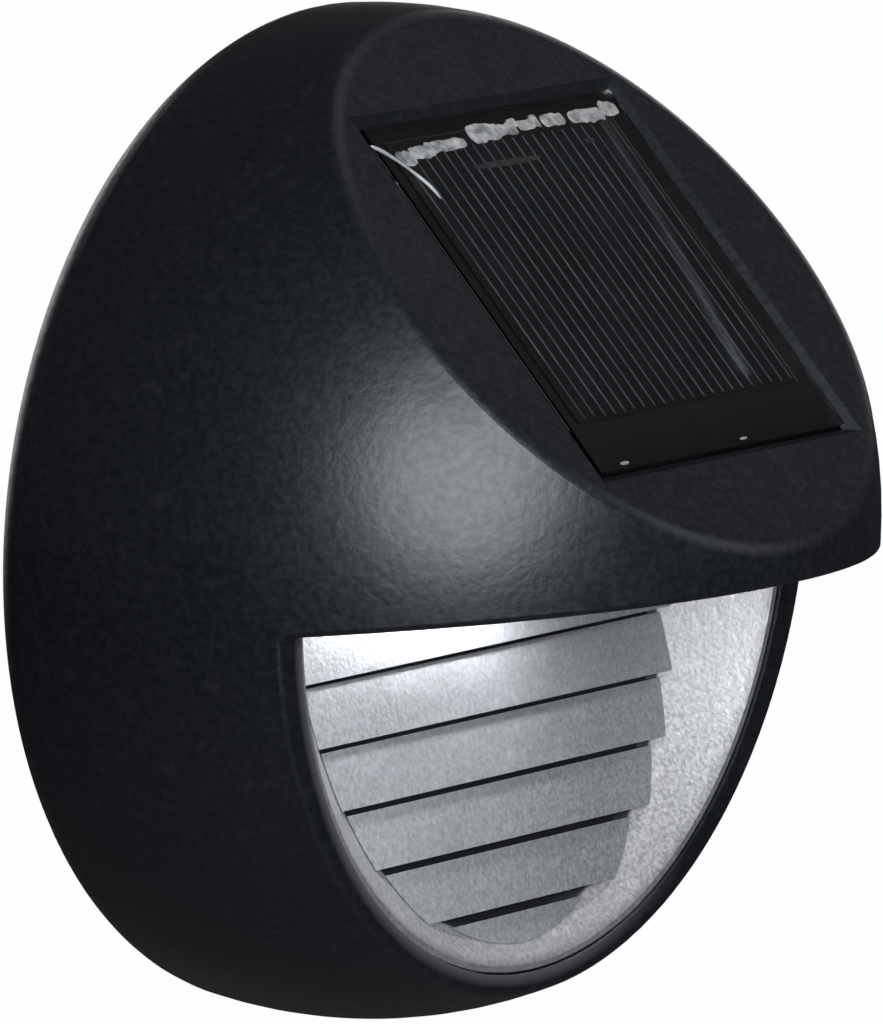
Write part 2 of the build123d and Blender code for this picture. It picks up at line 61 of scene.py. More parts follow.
def mathNode(tree, operation, first, second=0.0):
    node = tree.nodes.new("ShaderNodeMath")
    node.operation = operation
    for index, value in enumerate((first, second)):
        if isinstance(value, (int, float)):
            node.inputs[index].default_value = value
        else:
            tree.links.new(value, node.inputs[index])
    return node.outputs[0]


def productOf(tree, first, *others):
    for factor in others:
        first = mathNode(tree, "MULTIPLY", first, factor)
    return first


def noiseNode(tree, vector, scale, detail, roughness):
    node = tree.nodes.new("ShaderNodeTexNoise")
    node.inputs["Detail"].default_value = detail
    node.inputs["Roughness"].default_value = roughness
    if isinstance(scale, (int, float)):
        node.inputs["Scale"].default_value = scale
    else:
        tree.links.new(scale, node.inputs["Scale"])
    tree.links.new(vector, node.inputs["Vector"])
    return node.outputs["Fac"]


def rangeNode(tree, value, low, high, toLow=0.0, toHigh=1.0):
    node = tree.nodes.new("ShaderNodeMapRange")
    node.inputs["From Min"].default_value = low
    node.inputs["From Max"].default_value = high
    node.inputs["To Min"].default_value = toLow
    node.inputs["To Max"].default_value = toHigh
    tree.links.new(value, node.inputs["Value"])
    return node.outputs["Result"]


# where a mix node keeps the sockets that it uses for colours, since several share a name
mixPlan = {"share": 0, "first": 6, "second": 7, "result": 2}


def mixColours(tree, mask, first, second):
    node = tree.nodes.new("ShaderNodeMix")
    node.data_type = "RGBA"
    for end, value in (("first", first), ("second", second)):
        socket = node.inputs[mixPlan[end]]
        if isinstance(value, tuple):
            socket.default_value = (*value, 1)
        else:
            tree.links.new(value, socket)
    tree.links.new(mask, node.inputs[mixPlan["share"]])
    return node.outputs[mixPlan["result"]]


def mixShaders(tree, share, first, second):
    node = tree.nodes.new("ShaderNodeMixShader")
    for index, socket in enumerate((share, first, second)):
        tree.links.new(socket, node.inputs[index])
    return node.outputs[0]


def newMaterial(name, settings):
    material = bpy.data.materials.new(name)
    material.use_nodes = True
    shader = material.node_tree.nodes["Principled BSDF"]
    for label, value in settings.items():
        shader.inputs[label].default_value = (*value, 1) if isinstance(value, tuple) else value
    return material, shader


# the photograph's view, worked out from the outline of the ball and the hood's edge
cameraPlan = {
    "azimuth": 54.204,      # degrees from the light's own axis, towards its right hand
    "elevation": 9.340,
    "roll": 1.459,
    "distance": 1.4705,     # from the point on the wall behind the ball's centre
    "lens": 435.96,
    "aimAcross": 0.01786,   # where the middle of the picture lies
    "aimUp": -0.00161,
    "clipStart": 0.1,
    "clipEnd": 20.0,
}


def addCamera(plan):
    turn, rise = radians(plan["azimuth"]), radians(plan["elevation"])
    forward = Vector((sin(turn) * cos(rise), cos(turn) * cos(rise), -sin(rise)))
    level = Vector((cos(turn), -sin(turn), 0.0))
    roll = Quaternion(forward, -radians(plan["roll"]))
    across = roll @ level
    upward = roll @ level.cross(forward)
    place = -forward * plan["distance"]
    aim = across * plan["aimAcross"] + upward * plan["aimUp"]
    data = bpy.data.cameras.new("photoCamera")
    data.lens = plan["lens"]
    data.clip_start = plan["clipStart"]
    data.clip_end = plan["clipEnd"]
    camera = bpy.data.objects.new("photoCamera", data)
    scene.collection.objects.link(camera)
    back = (place - aim).normalized()
    right = upward.cross(back).normalized()
    top = back.cross(right)
    camera.matrix_world = Matrix.Translation(place) @ Matrix((right, top, back)).transposed().to_4x4()
    scene.camera = camera


addCamera(cameraPlan)
print("camera placed")

scene.view_settings.view_transform = "Standard"

# azimuth and elevation in degrees, distance and size in metres, power in watts
lampPlan = {
    "key": {"azimuth": -34.5, "elevation": 16.0, "distance": 0.9, "size": 0.64, "power": 9.6},
    "fill": {"azimuth": 35.0, "elevation": 20.0, "distance": 0.9, "size": 0.46, "power": 0.5},
    "top": {"azimuth": 77.0, "elevation": 60.0, "distance": 1.1, "size": 0.60, "power": 0.35},
    "side": {"azimuth": 105.0, "elevation": 15.0, "distance": 1.3, "size": 0.60, "power": 0.9},
    "rear": {"azimuth": 160.0, "elevation": 8.0, "distance": 1.3, "size": 0.80, "power": 2.4},
}


# a direction from the light: azimuth from its own axis towards its left hand, elevation from level
def direction(azimuth, elevation):
    turn, rise = radians(azimuth), radians(elevation)
    return Vector((sin(turn) * cos(rise), -cos(turn) * cos(rise), sin(rise)))


def addLamp(name, plan):
    data = bpy.data.lights.new(name, "AREA")
    data.shape = "DISK"
    data.size = plan["size"]
    data.energy = plan["power"]
    lamp = bpy.data.objects.new(name, data)
    lamp.location = direction(plan["azimuth"], plan["elevation"]) * plan["distance"]
    lamp.rotation_mode = "QUATERNION"
    lamp.rotation_quaternion = lamp.location.to_track_quat("Z", "Y")
    scene.collection.objects.link(lamp)


for lampName, plan in lampPlan.items():
    addLamp(lampName, plan)

# white where the camera looks, and for metal and glass where the backdrop stands behind the light
worldPlan = {
    "light": 0.055, "seen": 1.0,
    "backdrop": (126.0, -9.0),  # the direction of its middle: azimuth and elevation
    "backdropEdge": 0.965, "backdropMiddle": 0.997,  # cosines of the angle from there
}


def addWorld(plan):
    world = bpy.data.worlds.new("studio")
    scene.world = world
    world.use_nodes = True
    tree = world.node_tree
    back = tree.nodes["Background"]
    back.inputs["Color"].default_value = (1, 1, 1, 1)
    path = tree.nodes.new("ShaderNodeLightPath")
    towards = tree.nodes.new("ShaderNodeVectorMath")
    towards.operation = "DOT_PRODUCT"
    towards.inputs[1].default_value = direction(*plan["backdrop"])
    tree.links.new(tree.nodes.new("ShaderNodeTexCoord").outputs["Generated"], towards.inputs[0])
    backdrop = rangeNode(tree, towards.outputs["Value"], plan["backdropEdge"], plan["backdropMiddle"])
    bent = mathNode(tree, "MAXIMUM", path.outputs["Is Glossy Ray"], path.outputs["Is Transmission Ray"])
    mirrored = mathNode(tree, "MULTIPLY", bent, backdrop)
    white = mathNode(tree, "MAXIMUM", path.outputs["Is Camera Ray"], mirrored)
    tree.links.new(rangeNode(tree, white, 0.0, 1.0, plan["light"], plan["seen"]), back.inputs["Strength"])


addWorld(worldPlan)

floorPlan = {"height": -0.55, "reach": 6.0, "glow": 0.99, "paint": (0.16, 0.16, 0.16), "roughness": 0.9}


def addFloor(plan):
    mesh = bpy.data.meshes.new("studioFloor")
    work = bmesh.new()
    bmesh.ops.create_grid(work, x_segments=1, y_segments=1, size=plan["reach"])
    bmesh.ops.translate(work, verts=work.verts, vec=(0, 0, plan["height"]))
    work.to_mesh(mesh)
    work.free()
    floor = bpy.data.objects.new("studioFloor", mesh)
    scene.collection.objects.link(floor)
    paint, shader = newMaterial("studioFloor", {"Base Color": plan["paint"], "Roughness": plan["roughness"]})
    tree = paint.node_tree
    toCamera = tree.nodes.new("ShaderNodeLightPath").outputs["Is Camera Ray"]
    white = tree.nodes.new("ShaderNodeEmission").outputs[0]
    glow = mathNode(tree, "MULTIPLY", toCamera, plan["glow"])
    lit = mixShaders(tree, glow, shader.outputs["BSDF"], white)
    # seen from beneath, the floor is clear
    beneath = tree.nodes.new("ShaderNodeNewGeometry").outputs["Backfacing"]
    clear = tree.nodes.new("ShaderNodeBsdfTransparent").outputs[0]
    tree.links.new(mixShaders(tree, beneath, lit, clear), tree.nodes["Material Output"].inputs["Surface"])
    mesh.materials.append(paint)


addFloor(floorPlan)
print("lamps, world and floor placed")


# spark-eroded mould grain: fine grains of two sizes, specks and a slow drift in tone
grainPlan = {
    "coarser": 0.42,  # the coarse grain's scale, as a share of the fine grain's
    "fineShare": 0.5, "speck": (0.58, 0.74), "fleck": (0.38, 0.62), "patch": (0.35, 0.65),
}


def buildMouldGrain(plan):
    tree, given, made = newGroup(
        "mouldGrain", ("Grain Scale", "Patch Scale"), ("Height", "Speck", "Fleck", "Patch")
    )
    where = tree.nodes.new("ShaderNodeTexCoord").outputs["Object"]
    fine = noiseNode(tree, where, given.outputs["Grain Scale"], detail=3.0, roughness=0.55)
    coarseScale = mathNode(tree, "MULTIPLY", given.outputs["Grain Scale"], plan["coarser"])
    coarse = noiseNode(tree, where, coarseScale, detail=2.0, roughness=0.5)
    patch = noiseNode(tree, where, given.outputs["Patch Scale"], detail=3.0, roughness=0.5)
    fineHeight = mathNode(tree, "MULTIPLY", fine, plan["fineShare"])
    coarseHeight = mathNode(tree, "MULTIPLY", coarse, 1.0 - plan["fineShare"])
    tree.links.new(mathNode(tree, "ADD", fineHeight, coarseHeight), made.inputs["Height"])
    tree.links.new(rangeNode(tree, coarse, *plan["speck"]), made.inputs["Speck"])
    tree.links.new(rangeNode(tree, fine, *plan["fleck"]), made.inputs["Fleck"])
    tree.links.new(rangeNode(tree, patch, *plan["patch"]), made.inputs["Patch"])
    return tree


# handling marks on metal, rubber, resin and wire: a cloudy tone and a fine surface height
handlingPlan = {"cloud": (0.36, 0.64)}


def buildHandling(plan):
    tree, given, made = newGroup("handling", ("Cloud Scale", "Fine Scale"), ("Cloud", "Fine"))
    where = tree.nodes.new("ShaderNodeTexCoord").outputs["Object"]
    cloud = noiseNode(tree, where, given.outputs["Cloud Scale"], detail=4.0, roughness=0.6)
    tree.links.new(rangeNode(tree, cloud, *plan["cloud"]), made.inputs["Cloud"])
    fine = noiseNode(tree, where, given.outputs["Fine Scale"], detail=2.0, roughness=0.5)
    tree.links.new(fine, made.inputs["Fine"])
    return tree


mouldGrain = buildMouldGrain(grainPlan)
handling = buildHandling(handlingPlan)


def placeGroup(material, group, values):
    node = material.node_tree.nodes.new("ShaderNodeGroup")
    node.node_tree = group
    for label, value in values.items():
        node.inputs[label].default_value = value
    return node


# the handling marks, at a finish's own scales
def placeMarks(material, plan):
    return placeGroup(material, handling, {"Cloud Scale": plan["cloud"], "Fine Scale": plan["fine"]})


def bumpFrom(material, shader, height, plan):
    bump = material.node_tree.nodes.new("ShaderNodeBump")
    bump.inputs["Strength"].default_value = plan["bump"]
    bump.inputs["Distance"].default_value = plan["bumpDepth"]
    material.node_tree.links.new(height, bump.inputs["Height"])
    material.node_tree.links.new(bump.outputs["Normal"], shader.inputs["Normal"])


# how far a point is along a direction, from the object's origin
def alongNode(tree, heading):
    where = tree.nodes.new("ShaderNodeTexCoord").outputs["Object"]
    node = tree.nodes.new("ShaderNodeVectorMath")
    node.operation = "DOT_PRODUCT"
    node.inputs[1].default_value = heading
    tree.links.new(where, node.inputs[0])
    return node.outputs["Value"]


def grainedPlastic(name, plan):
    material, shader = newMaterial(
        name,
        {
            "Metallic": plan.get("metallic", 0.0), "Specular IOR Level": plan["specular"], "IOR": 1.5,
            "Specular Tint": plan.get("specularTint", (1.0, 1.0, 1.0)),
        },
    )
    tree = material.node_tree
    grain = placeGroup(material, mouldGrain, {"Grain Scale": plan["grain"], "Patch Scale": plan["patch"]})
    body = mixColours(tree, grain.outputs["Fleck"], plan["dark"], plan["light"])
    colour = mixColours(tree, grain.outputs["Speck"], body, plan["speck"])
    for finish in plan.get("masks", ()):
        colour = mixColours(tree, finish["mask"](tree), colour, finish["colour"])
    tree.links.new(colour, shader.inputs["Base Color"])
    gloss = mathNode(tree, "MULTIPLY", grain.outputs["Fleck"], plan["mottle"])
    rough = rangeNode(tree, grain.outputs["Patch"], 0.0, 1.0, plan["roughLow"], plan["roughHigh"])
    tree.links.new(mathNode(tree, "ADD", rough, gloss), shader.inputs["Roughness"])
    bumpFrom(material, shader, grain.outputs["Height"], plan)
    return material


silverPlan = {
    "dark": (0.33, 0.34, 0.36), "light": (0.48, 0.49, 0.51), "speck": (0.56, 0.57, 0.59),
    "grain": 1900.0, "patch": 60.0, "roughLow": 0.40, "roughHigh": 0.46, "mottle": 0.10, "specular": 0.5,
    "metallic": 0.55, "bump": 0.9, "bumpDepth": 0.00012,
}

# the rim's inner edge is painted pale: a painted highlight where light catches the rounded edge; radii from the
# dish's axis and depths from the wall, in mm
rimHighlightPlan = {
    "centreHeight": -2.0, "edge": 49.87, "reach": 1.5, "inner": 0.6, "depth": 37.8, "band": 0.6, "top": -5.0,
    "fadeFrom": 6.0, "fadeTo": 30.0,  # across, between which the painted highlight thins out to nothing
}


# painted highlight: a pale band along the rim's inner edge, thinning out towards the right
def rimHighlightMask(tree):
    centre = Vector((0, 0, rimHighlightPlan["centreHeight"])) * mm
    flat = tree.nodes.new("ShaderNodeVectorMath")
    flat.operation = "MULTIPLY_ADD"
    tree.links.new(tree.nodes.new("ShaderNodeTexCoord").outputs["Object"], flat.inputs[0])
    flat.inputs[1].default_value = (1, 0, 1)
    flat.inputs[2].default_value = -centre
    length = tree.nodes.new("ShaderNodeVectorMath")
    length.operation = "LENGTH"
    tree.links.new(flat.outputs[0], length.inputs[0])
    radius = length.outputs["Value"]
    edge = rimHighlightPlan["edge"] * mm
    outward = rangeNode(tree, radius, edge + rimHighlightPlan["reach"] * mm, edge)
    inward = mathNode(tree, "GREATER_THAN", radius, edge - rimHighlightPlan["inner"] * mm)
    deep = mathNode(tree, "SUBTRACT", alongNode(tree, (0, -1, 0)), rimHighlightPlan["depth"] * mm)
    near = mathNode(tree, "LESS_THAN", mathNode(tree, "ABSOLUTE", deep), rimHighlightPlan["band"] * mm)
    below = mathNode(tree, "LESS_THAN", alongNode(tree, (0, 0, 1)), rimHighlightPlan["top"] * mm)
    highlightSpan = rangeNode(tree, alongNode(tree, (1, 0, 0)), rimHighlightPlan["fadeTo"] * mm, rimHighlightPlan["fadeFrom"] * mm)
    return productOf(tree, outward, inward, highlightSpan, near, below)


# the silver is darkened towards the dish's mouth and in the slats' gaps: painted shade where the lip and the gaps
# fall dark; lengths in mm
paintedShadingPlan = {
    "mouthDepth": 38.4, "mouthFade": 1.9, "mouthShadeColour": (0.045, 0.048, 0.054),
    "slatDepth": 32.5, "slatHeight": -30.0, "slatTilt": 10.6, "slatStep": 0.9,
    "gapStart": 0.1, "gapFade": 0.35, "gapShadeColour": (0.030, 0.034, 0.042),
    # painted light: the slats' brighter left end
    "unlitSide": 14.0, "litSide": -30.0, "litColour": (0.79, 0.84, 0.90),
    "litGrain": 1500.0, "litRange": (0.34, 0.66), "litShare": (0.35, 0.85),
}


# painted light: the slats are painted brighter towards their left end, in coarse grains
def litEndMask(tree):
    unlitEnd, litEnd = (paintedShadingPlan[end] * mm for end in ("unlitSide", "litSide"))
    side = rangeNode(tree, alongNode(tree, (1, 0, 0)), unlitEnd, litEnd)
    where = tree.nodes.new("ShaderNodeTexCoord").outputs["Object"]
    grains = noiseNode(tree, where, paintedShadingPlan["litGrain"], detail=2.0, roughness=0.6)
    return productOf(tree, side, rangeNode(tree, grains, *paintedShadingPlan["litRange"], *paintedShadingPlan["litShare"]))


# painted shade: the silver darkens to near black over the last stretch before the dish's mouth
def mouthShadeMask(tree):
    deep = alongNode(tree, (0, -1, 0))
    mouth = paintedShadingPlan["mouthDepth"] * mm
    return rangeNode(tree, deep, mouth - paintedShadingPlan["mouthFade"] * mm, mouth)


# painted shade: dark paint on the slats and the dish behind each slat's proud edge, where shade falls in the gaps
def gapShadeMask(tree):
    tilt = radians(paintedShadingPlan["slatTilt"])
    outward = Vector((0, -cos(tilt), sin(tilt)))
    edge = Vector((0, -paintedShadingPlan["slatDepth"], paintedShadingPlan["slatHeight"])).dot(outward) * mm
    face = edge - paintedShadingPlan["slatStep"] * mm
    start, end = (face - paintedShadingPlan[share] * mm for share in ("gapStart", "gapFade"))
    return rangeNode(tree, alongNode(tree, outward), start, end)


housingPlan = {
    "dark": (0.0050, 0.0062, 0.0094), "light": (0.0076, 0.0090, 0.0130), "speck": (0.0110, 0.0125, 0.0170),
    "grain": 1150.0, "patch": 40.0, "roughLow": 0.29, "roughHigh": 0.34, "mottle": 0.06, "specular": 0.5,
    "specularTint": (0.88, 0.94, 1.0), "bump": 0.7, "bumpDepth": 0.00009,
    # painted highlight on the rim's inner edge
    "masks": ({"mask": rimHighlightMask, "colour": (0.075, 0.079, 0.087)},),
}
slatPlan = dict(
    silverPlan, dark=(0.355, 0.375, 0.405), light=(0.465, 0.49, 0.53), speck=(0.52, 0.55, 0.59), metallic=0.85,
    masks=(
        # painted light towards the slats' left end
        {"mask": litEndMask, "colour": paintedShadingPlan["litColour"]},
        # painted shade in the slats' gaps
        {"mask": gapShadeMask, "colour": paintedShadingPlan["gapShadeColour"]},
    ),
)
dishPlan = dict(
    silverPlan,
    masks=(
        {"mask": mouthShadeMask, "colour": paintedShadingPlan["mouthShadeColour"]},
        {"mask": gapShadeMask, "colour": paintedShadingPlan["gapShadeColour"]},
    ),
)
switchPlan = dict(housingPlan, masks=(), dark=(0.010, 0.010, 0.011), light=(0.016, 0.016, 0.017), grain=2600.0)
chipPlan = dict(switchPlan, specular=0.4, roughLow=0.5, roughHigh=0.6)


def handledFinish(name, plan):
    material, shader = newMaterial(name, plan["shader"])
    tree = material.node_tree
    marks = placeMarks(material, plan)
    colour = mixColours(tree, marks.outputs["Cloud"], plan["dark"], plan["light"])
    tree.links.new(colour, shader.inputs["Base Color"])
    rough = rangeNode(tree, marks.outputs["Cloud"], 0.0, 1.0, plan["roughLow"], plan["roughHigh"])
    tree.links.new(rough, shader.inputs["Roughness"])
    bumpFrom(material, shader, marks.outputs["Fine"], plan)
    return material


handledPlans = {
    "solder_silver": {
        "shader": {"Metallic": 0.2}, "dark": (0.30, 0.31, 0.33), "light": (1.0, 1.0, 1.0),
        "cloud": 600.0, "fine": 2000.0, "roughLow": 0.28, "roughHigh": 0.5, "bump": 0.6, "bumpDepth": 0.00008,
    },
    "finger_print": {
        "shader": {"Metallic": 0.3}, "dark": (0.078, 0.095, 0.120), "light": (0.150, 0.175, 0.205),
        "cloud": 260.0, "fine": 5000.0, "roughLow": 0.4, "roughHigh": 0.55, "bump": 0.3, "bumpDepth": 0.00002,
    },
    "dull_tab": {
        "shader": {"Metallic": 0.5}, "dark": (0.050, 0.053, 0.058), "light": (0.100, 0.105, 0.110),
        "cloud": 500.0, "fine": 3000.0, "roughLow": 0.5, "roughHigh": 0.65, "bump": 0.5, "bumpDepth": 0.00005,
    },
    # its pale tone paints a glint on the resin run and beads
    "cured_resin": {
        "shader": {"Specular IOR Level": 0.6, "Coat Weight": 0.2},
        "dark": (0.20, 0.21, 0.22), "light": (0.42, 0.44, 0.46),
        "cloud": 200.0, "fine": 2000.0, "roughLow": 0.16, "roughHigh": 0.3, "bump": 0.1, "bumpDepth": 0.00002,
    },
    "panel_board_black": {
        "shader": {"Specular IOR Level": 0.3},
        "dark": (0.0022, 0.0026, 0.0040), "light": (0.0040, 0.0046, 0.0066),
        "cloud": 120.0, "fine": 3000.0, "roughLow": 0.35, "roughHigh": 0.5, "bump": 0.2, "bumpDepth": 0.00002,
    },
    "foam_tape": {
        "shader": {"Specular IOR Level": 0.2}, "dark": (0.016, 0.016, 0.016), "light": (0.028, 0.028, 0.028),
        "cloud": 400.0, "fine": 5200.0, "roughLow": 0.85, "roughHigh": 0.95, "bump": 0.8, "bumpDepth": 0.00015,
    },
    "circuit_board": {
        "shader": {"Specular IOR Level": 0.5}, "dark": (0.008, 0.070, 0.026), "light": (0.014, 0.105, 0.040),
        "cloud": 90.0, "fine": 1600.0, "roughLow": 0.32, "roughHigh": 0.45, "bump": 0.3, "bumpDepth": 0.00003,
    },
    "screw_steel": {
        "shader": {"Metallic": 1.0}, "dark": (0.34, 0.34, 0.34), "light": (0.56, 0.56, 0.55),
        "cloud": 500.0, "fine": 4200.0, "roughLow": 0.26, "roughHigh": 0.42, "bump": 0.3, "bumpDepth": 0.00003,
    },
    "wound_coil": {
        "shader": {"Specular IOR Level": 0.5}, "dark": (0.020, 0.017, 0.015), "light": (0.050, 0.040, 0.032),
        "cloud": 700.0, "fine": 2200.0, "roughLow": 0.45, "roughHigh": 0.6, "bump": 0.8, "bumpDepth": 0.00015,
    },
    "gasket_rubber": {
        "shader": {"Specular IOR Level": 0.3}, "dark": (0.013, 0.013, 0.014), "light": (0.024, 0.024, 0.025),
        "cloud": 200.0, "fine": 2600.0, "roughLow": 0.7, "roughHigh": 0.85, "bump": 0.5, "bumpDepth": 0.00006,
    },
    "contact_steel": {
        "shader": {"Metallic": 1.0}, "dark": (0.46, 0.45, 0.43), "light": (0.66, 0.65, 0.62),
        "cloud": 300.0, "fine": 3800.0, "roughLow": 0.22, "roughHigh": 0.38, "bump": 0.3, "bumpDepth": 0.00003,
    },
    "lead_red": {
        "shader": {"Specular IOR Level": 0.5}, "dark": (0.24, 0.012, 0.010), "light": (0.34, 0.020, 0.016),
        "cloud": 300.0, "fine": 2600.0, "roughLow": 0.38, "roughHigh": 0.5, "bump": 0.2, "bumpDepth": 0.00002,
    },
    "lead_black": {
        "shader": {"Specular IOR Level": 0.5}, "dark": (0.010, 0.010, 0.011), "light": (0.020, 0.020, 0.021),
        "cloud": 300.0, "fine": 2600.0, "roughLow": 0.38, "roughHigh": 0.5, "bump": 0.2, "bumpDepth": 0.00002,
    },
    "lead_yellow": {
        "shader": {"Specular IOR Level": 0.5}, "dark": (0.42, 0.27, 0.015), "light": (0.52, 0.34, 0.022),
        "cloud": 300.0, "fine": 2600.0, "roughLow": 0.38, "roughHigh": 0.5, "bump": 0.2, "bumpDepth": 0.00002,
    },
}

# the solar face's own directions: across, down the slope and out of the face
faceSlope = radians(46.0)
faceAcross = Vector((1, 0, 0))
faceDown = Vector((0, -cos(faceSlope), -sin(faceSlope)))
faceOut = Vector((0, -sin(faceSlope), cos(faceSlope)))


def middleOf(nodeName):
    low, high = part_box(nodeName)
    return (Vector(low) + Vector(high)) / 2


panelMiddle = middleOf("panel_resin")

# dark silicon with crystal mottling and a worn, milky streak towards one side
cellPlan = {
    "dark": (0.0010, 0.0013, 0.0022), "light": (0.0022, 0.0028, 0.0042), "streak": (0.17, 0.178, 0.19),
    "streakTop": (18.8, -10.5), "streakFoot": (14.0, 14.8),  # across and down from the recess's middle, in mm
    "streakWidth": 3.0, "streakFaint": 0.35, "streakEnd": 1.5,
    "speckle": (0.35, 0.65), "speckleShare": (0.4, 1.0),
    "cloud": 90.0, "fine": 2400.0, "rough": 0.3, "specular": 0.15, "bump": 0.2, "bumpDepth": 0.00002,
}


def cellFinish(plan):
    settings = {"Roughness": plan["rough"], "Specular IOR Level": plan["specular"]}
    material, shader = newMaterial("solarCell", settings)
    tree = material.node_tree
    marks = placeMarks(material, plan)
    base = mixColours(tree, marks.outputs["Cloud"], plan["dark"], plan["light"])
    top, foot = (Vector(plan[end]) * mm for end in ("streakTop", "streakFoot"))
    run = (foot - top).normalized()
    square = faceAcross * -run.y + faceDown * run.x
    start = panelMiddle + faceAcross * top.x + faceDown * top.y
    heading = faceAcross * run.x + faceDown * run.y
    offset = mathNode(tree, "SUBTRACT", alongNode(tree, square), start.dot(square))
    spread = rangeNode(tree, mathNode(tree, "ABSOLUTE", offset), plan["streakWidth"] * mm / 2, 0.0)
    length = (foot - top).length
    passed = mathNode(tree, "SUBTRACT", alongNode(tree, heading), start.dot(heading))
    grown = rangeNode(tree, passed, 0.0, length, plan["streakFaint"], 1.0)
    ended = rangeNode(tree, passed, length + plan["streakEnd"] * mm, length)
    speckled = rangeNode(tree, marks.outputs["Fine"], *plan["speckle"], *plan["speckleShare"])
    mask = productOf(tree, spread, speckled, grown, ended)
    tree.links.new(mixColours(tree, mask, base, plan["streak"]), shader.inputs["Base Color"])
    bumpFrom(material, shader, marks.outputs["Fine"], plan)
    return material


resinPlan = {
    "tint": (0.95, 0.96, 0.97), "ior": 1.33, "specular": 0.3, "cloud": 70.0, "fine": 140.0,
    "bump": 0.06, "bumpDepth": 0.0004, "roughLow": 0.03, "roughHigh": 0.09,
}


def resinFinish(plan):
    settings = {
        "Base Color": plan["tint"], "Transmission Weight": 1.0, "IOR": plan["ior"],
        "Specular IOR Level": plan["specular"],
    }
    material, shader = newMaterial("clearResin", settings)
    tree = material.node_tree
    marks = placeMarks(material, plan)
    rough = rangeNode(tree, marks.outputs["Cloud"], 0.0, 1.0, plan["roughLow"], plan["roughHigh"])
    tree.links.new(rough, shader.inputs["Roughness"])
    bumpFrom(material, shader, marks.outputs["Fine"], plan)
    return material


ledPlan = {
    "glow": (1.0, 0.99, 0.98), "strength": 222.0, "rough": 0.12,
    "body": (0.93, 0.94, 0.90), "clouded": 0.9, "cloud": 500.0, "fine": 3000.0,
}


def ledFinish(plan):
    settings = {"Emission Color": plan["glow"], "Emission Strength": plan["strength"], "Roughness": plan["rough"]}
    material, shader = newMaterial("litLens", settings)
    tree = material.node_tree
    marks = placeMarks(material, plan)
    clouded = tuple(plan["clouded"] * share for share in plan["body"])
    colour = mixColours(tree, marks.outputs["Cloud"], clouded, plan["body"])
    tree.links.new(colour, shader.inputs["Base Color"])
    return material


# shrunk sleeve in green, with a pale band, between two bare steel ends; lengths in mm
batteryPlan = {
    "sleeve": (0.020, 0.110, 0.050), "sleeveWorn": (0.030, 0.150, 0.070), "steel": (0.55, 0.55, 0.54),
    "nub": 1.4, "bareEnd": 1.0, "band": 6.0, "bandColour": (0.55, 0.57, 0.56), "metal": 0.95, "specular": 0.5,
    "cloud": 140.0, "fine": 2600.0, "roughLow": 0.26, "roughHigh": 0.40, "bump": 0.2, "bumpDepth": 0.00002,
}


def batteryFinish(plan):
    material, shader = newMaterial("batteryWrap", {"Specular IOR Level": plan["specular"]})
    tree = material.node_tree
    low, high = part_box("battery_cell")
    marks = placeMarks(material, plan)
    sleeve = mixColours(tree, marks.outputs["Cloud"], plan["sleeve"], plan["sleeveWorn"])
    along = alongNode(tree, (1, 0, 0))
    nub = low[0] + plan["nub"] * mm
    band = mathNode(tree, "LESS_THAN", along, nub + (plan["bareEnd"] + plan["band"]) * mm)
    wrapped = mixColours(tree, band, sleeve, plan["bandColour"])
    leftEnd = mathNode(tree, "LESS_THAN", along, nub + plan["bareEnd"] * mm)
    rightEnd = mathNode(tree, "GREATER_THAN", along, high[0] - plan["bareEnd"] * mm)
    bare = mathNode(tree, "MAXIMUM", leftEnd, rightEnd)
    tree.links.new(mixColours(tree, bare, wrapped, plan["steel"]), shader.inputs["Base Color"])
    tree.links.new(mathNode(tree, "MULTIPLY", bare, plan["metal"]), shader.inputs["Metallic"])
    rough = rangeNode(tree, marks.outputs["Cloud"], 0.0, 1.0, plan["roughLow"], plan["roughHigh"])
    tree.links.new(rough, shader.inputs["Roughness"])
    bumpFrom(material, shader, marks.outputs["Fine"], plan)
    return material


materials = {
    "housing_plastic": grainedPlastic("blackHousing", housingPlan),
    "silver_plastic": grainedPlastic("silverReflector", dishPlan),
    "silver_slats": grainedPlastic("silverSlats", slatPlan),
    "switch_plastic": grainedPlastic("switchPlastic", switchPlan),
    "chip_black": grainedPlastic("chipCase", chipPlan),
    "cell_silicon": cellFinish(cellPlan),
    "clear_resin": resinFinish(resinPlan),
    "led_lens": ledFinish(ledPlan),
    "battery_wrap": batteryFinish(batteryPlan),
}
for finishName, plan in handledPlans.items():
    materials[finishName] = handledFinish(finishName, plan)
print("materials made:", len(materials))

slotOf = {part["node"]: part["material_slot"] for part in frame["record"]["subparts"]}
for nodeName, node in frame["nodes"].items():
    node.data.materials.clear()
    finish = "silver_slats" if nodeName == "louvre_panel" else slotOf[nodeName]
    node.data.materials.append(materials[finish])
print("CAD nodes finished")


# of what an operator hands back, the vertices or the edges alone
def onlyOf(kind, geometry):
    return [item for item in geometry if isinstance(item, kind)]


# of the edges given, those whose two ends are both among the vertices
def edgesAmong(edges, vertices):
    return [edge for edge in edges if all(vertex in vertices for vertex in edge.verts)]


# lays a finished bmesh in the frame, in metres, and hands it to its body
def finishPiece(name, work, finish, body="root", place=None, smooth=False):
    if place is not None:
        bmesh.ops.transform(work, matrix=place, verts=work.verts)
    mesh = bpy.data.meshes.new(name)
    for face in work.faces:
        face.smooth = smooth
    work.to_mesh(mesh)
    work.free()
    mesh.materials.append(materials[finish])
    piece = bpy.data.objects.new(name, mesh)
    scene.collection.objects.link(piece)
    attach(piece, body)
    return piece


# the panel's layers, in mm
layerPlan = {"solar_cell": 0.3, "panel_resin": 1.1}


